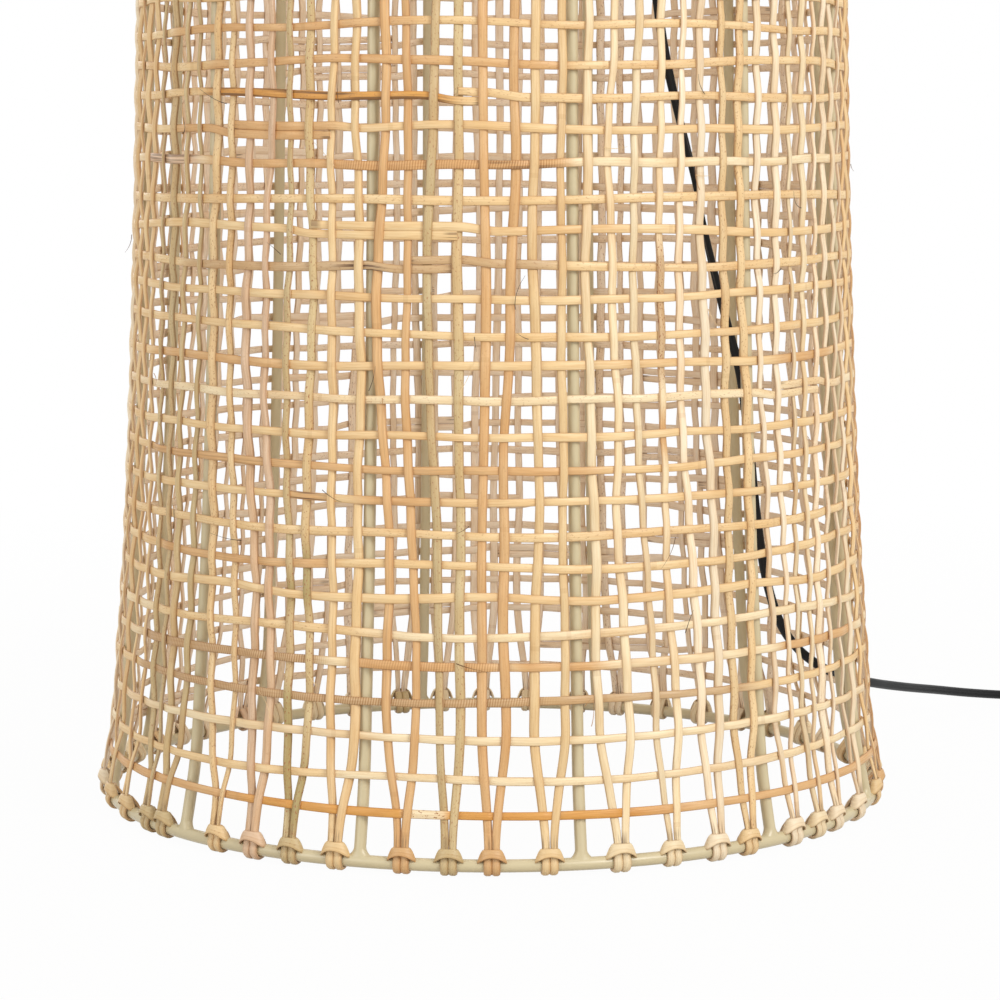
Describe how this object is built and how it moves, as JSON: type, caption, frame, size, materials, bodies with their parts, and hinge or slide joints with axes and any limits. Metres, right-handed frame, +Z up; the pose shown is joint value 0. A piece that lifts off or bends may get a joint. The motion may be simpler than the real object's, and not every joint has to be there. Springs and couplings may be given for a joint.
{
  "type": "floor lamp",
  "caption": "Tall open-weave rattan floor lamp on a welded cage of painted steel rods, with a bulb on a spider inside and a flat black cord with a foot switch.",
  "frame": {"origin": "on the floor, under the middle of the foot ring", "axes": "+Z up the lamp, -Y towards the picture's viewer, +X to the right, where the cord goes"},
  "size_m": [0.6953, 0.4715, 1.1555],
  "materials": {
    "rattan_cane": "natural peeled cane, matt to satin",
    "painted_steel": "cream-beige powder coat, satin",
    "zinc_steel": "bright zinc plate",
    "black_plastic": "moulded, fine satin",
    "brass": "pressed sheet",
    "ceramic": "glazed steatite",
    "nickel": "nickel plate",
    "clear_glass": "clear blown glass",
    "black_cord": "extruded PVC, satin"
  },
  "bodies": {
    "lamp": {"woven_panel_01": "rattan_cane", "woven_panel_02": "rattan_cane", "woven_panel_03": "rattan_cane", "woven_panel_04": "rattan_cane", "woven_panel_05": "rattan_cane", "woven_panel_06": "rattan_cane", "woven_panel_07": "rattan_cane", "woven_panel_08": "rattan_cane", "woven_panel_09": "rattan_cane", "woven_panel_10": "rattan_cane", "woven_panel_11": "rattan_cane", "woven_panel_12": "rattan_cane", "foot_ring": "painted_steel", "top_ring": "painted_steel", "spider_hub": "painted_steel", "post_01": "painted_steel", "post_02": "painted_steel", "post_03": "painted_steel", "post_04": "painted_steel", "post_05": "painted_steel", "post_06": "painted_steel", "post_07": "painted_steel", "post_08": "painted_steel", "post_09": "painted_steel", "post_10": "painted_steel", "post_11": "painted_steel", "post_12": "painted_steel", "spider_arm_01": "painted_steel", "spider_arm_02": "painted_steel", "spider_arm_03": "painted_steel", "threaded_nipple": "zinc_steel", "lock_nut": "zinc_steel", "cord_grip": "black_plastic", "holder_base": "black_plastic", "holder_skirt": "black_plastic", "switch_base": "black_plastic", "switch_cover": "black_plastic", "switch_relief_lamp": "black_plastic", "switch_relief_coil": "black_plastic", "cord_tie": "black_plastic", "plug_relief": "black_plastic", "plug_body": "black_plastic", "holder_contact": "brass", "holder_screw_shell": "brass", "holder_insulator": "ceramic", "plug_pin_01": "nickel", "plug_pin_02": "nickel", "lamp_cord": "black_cord", "cord_coil": "black_cord"},
    "bulb": {"bulb_cap": "nickel", "bulb_tip": "nickel", "bulb_glass": "clear_glass", "bulb_stem": "clear_glass"},
    "button": {"switch_button": "black_plastic"}
  },
  "joints": [
    {"name": "bulb_unscrew", "type": "hinge", "parent": "lamp", "child": "bulb", "pos_m": [0, 0, 0.92], "axis": [0, 0, 1], "range_deg": [0, 720]},
    {"name": "switch_press", "type": "slide", "parent": "lamp", "child": "button", "axis": [0, 0, -1], "range_m": [0, 0.0025], "stiffness_N_per_m": 400}
  ]
}
